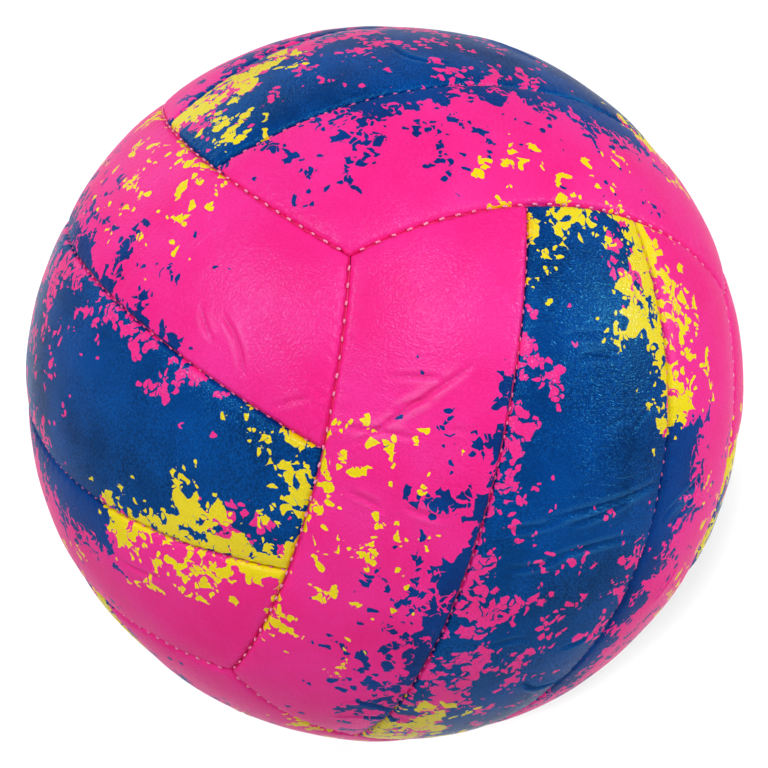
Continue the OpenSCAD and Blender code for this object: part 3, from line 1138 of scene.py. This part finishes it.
# %% Groups for the mottle and painted light, and the inks
def mottle_and_light_group():
    """Random mottle and painted shade in the grain's valleys, and a crease's painted highlight and
    shade.
    """
    tree, given, result = new_tree(
        "Cover mottle and painted light",
        "ShaderNodeTree",
        [
            ("Place", "Vector", None),
            ("Fold", "Float", 0.0),
            ("Shine", "Float", 0.0),
            ("Valley", "Float", 0.4),
            ("Cloud", "Float", 0.5),
            ("Painted highlight strength", "Float", 0.3),
            ("Crease light", "Float", 0.87),
        ],
        [("Mottle and painted shade", "Float"), ("Painted highlight share", "Float"), ("Light", "Float")],
    )
    maths, _ = tree_maths(tree)
    cloud = cloudy(tree, given["Place"], 5.0, 3.0)[0]
    cloud = between(tree, cloud, 0.3, 0.7, 0.0, given["Cloud"])
    # painted shade: the grain's valleys are darker in the colour
    valley = between(tree, given["Shine"], 0.15, 0.75, given["Valley"], 0.0)
    tree.links.new(maths("ADD", cloud, valley), result["Mottle and painted shade"])
    # painted highlight: a paler tone on the shoulders of a crease
    painted_highlight = between(tree, given["Fold"], 0.3, 1.0, 0.0, given["Painted highlight strength"])
    tree.links.new(painted_highlight, result["Painted highlight share"])
    # painted shade: darker inside a crease
    light = between(tree, given["Fold"], -1.0, -0.3, given["Crease light"], 1.0)
    tree.links.new(light, result["Light"])
    return tree


def ink_group():
    """Tone of one ink, mottled and painted shaded, with a painted highlight on a crease's shoulder."""
    tree, given, result = new_tree(
        "Ink tone",
        "ShaderNodeTree",
        [
            ("Colour", "Color", None),
            ("Shade", "Color", None),
            ("Painted highlight colour", "Color", None),
            ("Mottle and painted shade", "Float", 0.0),
            ("Painted highlight share", "Float", 0.0),
        ],
        [("Tone", "Color")],
    )
    tone = blend_colours(tree, given["Mottle and painted shade"], given["Colour"], given["Shade"])
    # painted highlight on a crease's shoulder
    tone = blend_colours(tree, given["Painted highlight share"], tone, given["Painted highlight colour"])
    tree.links.new(tone, result["Tone"])
    return tree


mottle_and_light, ink = mottle_and_light_group(), ink_group()
print([(group.name, len(group.nodes)) for group in (mottle_and_light, ink)])

# %% Cover materials
INK_TONES = ("Colour", "Shade", "Painted highlight colour")
PATCH_SIZES = ("Across none", "Across full", "Along low", "Along high", "Along soft", "Strength")
WEAK_SHINE = 0.012
# roughness on the tops of the grain, as a share of that in its valleys
TOP_ROUGH = 0.55


def cover_finish(name, ground, glint, rough, depth, valley, layers):
    """Printed leather: flakes over a ground colour; valley is how much painted shade its grain's valleys
    get.
    """
    made, tree, shader = new_finish(name)
    maths, vectors = tree_maths(tree)
    place = add_node(tree, "ShaderNodeAttribute", attribute_name="face_place").outputs["Vector"]
    fold = add_node(tree, "ShaderNodeAttribute", attribute_name="fold").outputs["Fac"]
    pebbles = use_group(tree, grain, {"Place": place})
    mottle_and_painted_light = {"Place": place, "Fold": fold, "Shine": pebbles["Shine"], "Valley": valley}
    mottle_and_painted_light = use_group(tree, mottle_and_light, mottle_and_painted_light)

    def inked(tones):
        state = {"Mottle and painted shade": mottle_and_painted_light["Mottle and painted shade"], "Painted highlight share": mottle_and_painted_light["Painted highlight share"]}
        return use_group(tree, ink, {**dict(zip(INK_TONES, tones)), **state})["Tone"]

    tone = inked(ground)
    for tones, shift, per_dm, patches in layers:
        chip = use_group(tree, chips, {"Place": place, "Shift": shift, "Chips per dm": per_dm})
        where = use_group(tree, face_angles, {"Place": chip["Middle"]})
        angles = {"Across": where["Across"], "Along": where["Along"]}
        density = None
        for sizes in patches:
            one = use_group(tree, patch, {**angles, **dict(zip(PATCH_SIZES, sizes))})["Density"]
            density = one if density is None else maths("MAXIMUM", density, one)
        flake = {"Density": density, "Level": chip["Level"], "From middle": chip["From middle"]}
        flake = use_group(tree, printed, flake)["Mask"]
        tone = blend_colours(tree, flake, tone, inked(tones))
    # painted shade inside a crease
    tone = vectors("SCALE", tone, Scale=mottle_and_painted_light["Light"])["Vector"]
    shader.inputs["Specular IOR Level"].default_value = WEAK_SHINE
    shader.inputs["Specular Tint"].default_value = glint
    dull = between(tree, pebbles["Shine"], 0.0, 1.0, rough, TOP_ROUGH * rough)
    wire_finish(tree, shader, tone, dull, pebbles["Height"], 1.0, depth)
    return made


# ground, glint, roughness, depth of the grain in metres, painted shade in its valleys
PINK_LEATHER = (PINK, (6.5, 13.0, 22.0, 1), 0.36, 1.0e-4, 0.4)
BLUE_LEATHER = (BLUE, (3.0, 23.0, 32.0, 1), 0.27, 1.6e-4, 0.5)
cover_finishes = {
    1: cover_finish("Pink cover low side", *PINK_LEATHER, LOW_SIDE_PRINT),
    2: cover_finish("Blue cover middle", *BLUE_LEATHER, MIDDLE_PRINT),
    3: cover_finish("Pink cover high side", *PINK_LEATHER, HIGH_SIDE_PRINT),
}
print("nodes in the cover finishes", [len(m.node_tree.nodes) for m in cover_finishes.values()])

# %% [markdown]
# ## Finishes inside the ball
# The foam is white with tiny closed cells. The cloth is a plain weave, so two crossed waves make
# it from the place on the face. The bladder is thin black rubber with a dusty bloom, and the valve's
# body is moulded rubber, a little glossier than the bladder. All the rubbers share one group for
# the bloom and the fine skin of the mould.

# %% Foam and cloth
def foam_finish():
    """White foam with 160 cells in a decimetre."""
    made, tree, shader = new_finish("Closed-cell foam")
    place = add_node(tree, "ShaderNodeAttribute", attribute_name="face_place").outputs["Vector"]
    cells = add_node(tree, "ShaderNodeTexVoronoi", {"Vector": place, "Scale": 160.0}).outputs["Distance"]
    shade = between(tree, cells, 0.0, 0.6, 0, 1)
    tone = blend_colours(tree, shade, colour(246, 245, 240), colour(222, 220, 212))
    wire_finish(tree, shader, tone, between(tree, cells, 0.0, 0.6, 0.95, 0.75), cells, 0.6, 1.5e-4)
    return made


def cloth_finish():
    """Plain weave from two crossed waves."""
    made, tree, shader = new_finish("Woven backing cloth")
    maths, _ = tree_maths(tree)
    place = add_node(tree, "ShaderNodeAttribute", attribute_name="face_place").outputs["Vector"]
    axes = add_node(tree, "ShaderNodeSeparateXYZ", {0: place}).outputs
    warp, weft = (maths("SINE", maths("MULTIPLY", axes[k], 900.0)) for k in (1, 2))
    weave = between(tree, maths("MULTIPLY", warp, weft), -1.0, 1.0, 0.0, 1.0)
    tone = blend_colours(tree, weave, colour(196, 194, 188), colour(232, 230, 224))
    wire_finish(tree, shader, tone, between(tree, weave, 0.0, 1.0, 0.95, 0.8), weave, 0.7, 1e-4)
    return made


foam, cloth = foam_finish(), cloth_finish()
print("finishes", foam.name, "and", cloth.name)

# %% Rubber
def rubber_group():
    """Dusty bloom of a rubber, how dull it makes it, and the height of the moulded skin."""
    tree, given, result = new_tree(
        "Rubber bloom",
        "ShaderNodeTree",
        [("Place", "Vector", None), ("Spots per m", "Float", 60.0), ("Roughness", "Float", 0.5)],
        [("Bloom", "Float"), ("Dullness", "Float"), ("Height", "Float")],
    )
    maths, _ = tree_maths(tree)
    dust = cloudy(tree, given["Place"], given["Spots per m"], 4.0)[0]
    tree.links.new(between(tree, dust, 0.35, 0.7, 0.0, 1.0), result["Bloom"])
    dusty = maths("ADD", given["Roughness"], 0.2)
    tree.links.new(between(tree, dust, 0.3, 0.7, given["Roughness"], dusty), result["Dullness"])
    tree.links.new(cloudy(tree, given["Place"], 1800.0, 2.0)[0], result["Height"])
    return tree


bloomed = rubber_group()


def rubber_finish(name, dark, bloom, rough, spots):
    """Rubber with a dusty bloom of so many spots in a metre."""
    made, tree, shader = new_finish(name)
    place = add_node(tree, "ShaderNodeTexCoord").outputs["Object"]
    skin = use_group(tree, bloomed, {"Place": place, "Spots per m": spots, "Roughness": rough})
    tone = blend_colours(tree, skin["Bloom"], dark, bloom)
    wire_finish(tree, shader, tone, skin["Dullness"], skin["Height"], 0.25, 8e-5)
    return made


inside = {
    "bladder": rubber_finish("Bladder rubber", colour(34, 34, 37), colour(58, 57, 60), 0.5, 60.0),
    "valve_body": rubber_finish("Valve rubber", colour(26, 26, 28), colour(44, 44, 46), 0.42, 220.0),
    "valve_plug": rubber_finish("Plug rubber", colour(38, 38, 41), colour(60, 60, 62), 0.5, 300.0),
}
print("rubber finishes", [m.name for m in inside.values()])

# %% [markdown]
# ## Putting the pieces in their places
# Every piece gets its finish and the body that carries it, and the solids that it stands for are
# hidden. The ball has no joint, so its one body carries everything.

# %% Pieces, finishes and carriers
def settle(piece, finish, slot, *nodes):
    """Gives a piece its finish, unless it has its own, puts it on the root body and hides the solids
    that it stands for.
    """
    if finish:
        piece.data.materials.clear()
        piece.data.materials.append(finish)
    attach(piece, "root")
    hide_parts(*nodes)


def cloth_area(backing):
    """Flat area of a backing cloth: half of its closed mesh, which has two faces."""
    return 0.5 * sum(f.area for f in backing.data.polygons)


for (face, strip), skin in skins.items():
    printed_as = 4 - strip if face in TURNED else strip
    slot = "cover_centre" if strip == 2 else "cover_side"
    settle(skin, cover_finishes[printed_as], slot, f"skin_{face}_{strip}")
    pad, backing = layers[face, strip]
    settle(pad, foam, "foam", f"foam_{face}_{strip}")
    settle(backing, cloth, "backing_cloth", f"cloth_{face}_{strip}")
    cloth_area(backing)
settle(edge_stitches, None, "thread", "edge_thread")
settle(strip_stitches, None, "thread", "strip_thread")
for node, finish in inside.items():
    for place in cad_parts[node].material_slots:
        place.material = finish

# %% [markdown]
# ## Floor, light and camera
# The ball stands on a plain white floor in soft light. Four soft lamps stand where the
# highlights on the cover ask for them, and a pale world fills the shadows. For the camera and for
# reflections the floor and the world are plain white. A fifth lamp, a sun, lights the floor alone,
# so that the ball's shadow shows on the white, and for bounced light the floor is a darker grey,
# or that sun would brighten the ball from below. The camera looks at the ball from a little above
# and is rolled, because the ball was.

# %% Camera
RIGHT = Vector((0.4329, 0.861, 0.267))
UP = Vector((-0.4344, -0.0603, 0.8987))
BACK = Vector((0.7899, -0.505, 0.3479))
TURN = (0.0123, -0.0042)
EYE_DISTANCE = 0.5208
# width of the picture and shift of the frame, in pixels
PICTURE, SHIFT = 768, (-0.8, -0.7)
toward = (BACK - TURN[0] * RIGHT - TURN[1] * UP).normalized()
right = RIGHT + TURN[0] * BACK
right = (right - right.dot(toward) * toward).normalized()
up = toward.cross(right)
eye = bpy.data.cameras.new("camera")
eye.sensor_width = 36.0
eye.lens = 81.6
eye.shift_x, eye.shift_y = SHIFT[0] / PICTURE, SHIFT[1] / PICTURE
camera = placed("camera", eye)
camera.matrix_world = Matrix((right, up, toward)).transposed().to_4x4()
camera.location = EYE_DISTANCE * toward
bpy.context.scene.camera = camera
print("camera at", [round(v, 3) for v in camera.location])

# %% Lamps and world
WHITE = (1, 1, 1, 1)
FILL = 0.28


def soft_lamp(name, sideways, upward, forward, distance, size, power):
    """A square soft lamp, placed by its direction as seen from the camera, facing the ball."""
    lamp = bpy.data.lights.new(name, "AREA")
    lamp.size, lamp.energy = size, power
    obj = placed(name, lamp)
    obj.location = (sideways * right + upward * up + forward * toward).normalized() * distance
    obj.rotation_euler = obj.location.to_track_quat("Z", "Y").to_euler()


soft_lamp("left_lamp", -0.545, 0.344, 0.767, 0.9, 0.13, 2.4)
soft_lamp("front_lamp", 0.203, 0.357, 0.912, 1.0, 0.13, 2.9)
soft_lamp("side_lamp", 0.91, 0.25, 0.31, 0.9, 0.15, 2.7)
soft_lamp("back_lamp", -0.62, 0.70, -0.35, 1.0, 0.6, 2.2)


def seen_white(tree):
    """One for rays that the camera, a reflection or a clear body sends out."""
    path = add_node(tree, "ShaderNodeLightPath").outputs
    maths, _ = tree_maths(tree)
    sent = maths("MAXIMUM", path["Is Glossy Ray"], path["Is Transmission Ray"])
    return maths("MAXIMUM", path["Is Camera Ray"], sent)


world = bpy.data.worlds.new("studio")
world.use_nodes = True
bpy.context.scene.world = world
sky = world.node_tree
sky.nodes.clear()
fill = add_node(sky, "ShaderNodeBackground", {"Color": WHITE, "Strength": FILL}).outputs[0]
white = add_node(sky, "ShaderNodeBackground", {"Color": WHITE, "Strength": 1.0}).outputs[0]
mixed = add_node(sky, "ShaderNodeMixShader", {0: seen_white(sky), 1: fill, 2: white})
add_node(sky, "ShaderNodeOutputWorld", {"Surface": mixed.outputs[0]})
print("lamps", [lamp.name for lamp in bpy.data.lights])

# %% Floor
FLOOR_HALF = 4
SEEN_GREY, FLOOR_GLOW = (0.22, 0.22, 0.22, 1), 0.6
BOUNCE_GREY = (0.17, 0.17, 0.17, 1)
SUN_POWER, SUN_WIDTH = 13.0, math.radians(6)
floor_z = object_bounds()[0][2]
corners = [(FLOOR_HALF * x, FLOOR_HALF * y, floor_z) for x, y in ((-1, -1), (1, -1), (1, 1), (-1, 1))]
floor_mesh = bpy.data.meshes.new("floor")
floor_mesh.from_pydata(corners, [], [(0, 1, 2, 3)])
floor = placed("floor", floor_mesh)
ground = bpy.data.materials.new("Pale floor")
ground.use_nodes = True
tree = ground.node_tree
tree.nodes.clear()
plain = add_node(tree, "ShaderNodeBsdfDiffuse", {"Color": SEEN_GREY}).outputs[0]
glow = add_node(tree, "ShaderNodeEmission", {"Color": WHITE, "Strength": FLOOR_GLOW}).outputs[0]
lit = add_node(tree, "ShaderNodeAddShader", {0: plain, 1: glow}).outputs[0]
dull = add_node(tree, "ShaderNodeBsdfDiffuse", {"Color": BOUNCE_GREY}).outputs[0]
mixed = add_node(tree, "ShaderNodeMixShader", {0: seen_white(tree), 1: dull, 2: lit})
add_node(tree, "ShaderNodeOutputMaterial", {"Surface": mixed.outputs[0]})
floor_mesh.materials.append(ground)

sun = bpy.data.lights.new("floor_sun", "SUN")
sun.energy, sun.angle = SUN_POWER, SUN_WIDTH
floor_sun = placed("floor_sun", sun)
aim = -0.20 * right + 0.15 * up + 0.968 * toward
floor_sun.rotation_euler = aim.to_track_quat("Z", "Y").to_euler()
only_floor = bpy.data.collections.new("lit by the floor sun")
only_floor.objects.link(floor)
floor_sun.light_linking.receiver_collection = only_floor
bpy.context.scene.view_settings.view_transform = "Standard"
print("floor at", round(1000 * floor_z, 2), "mm")
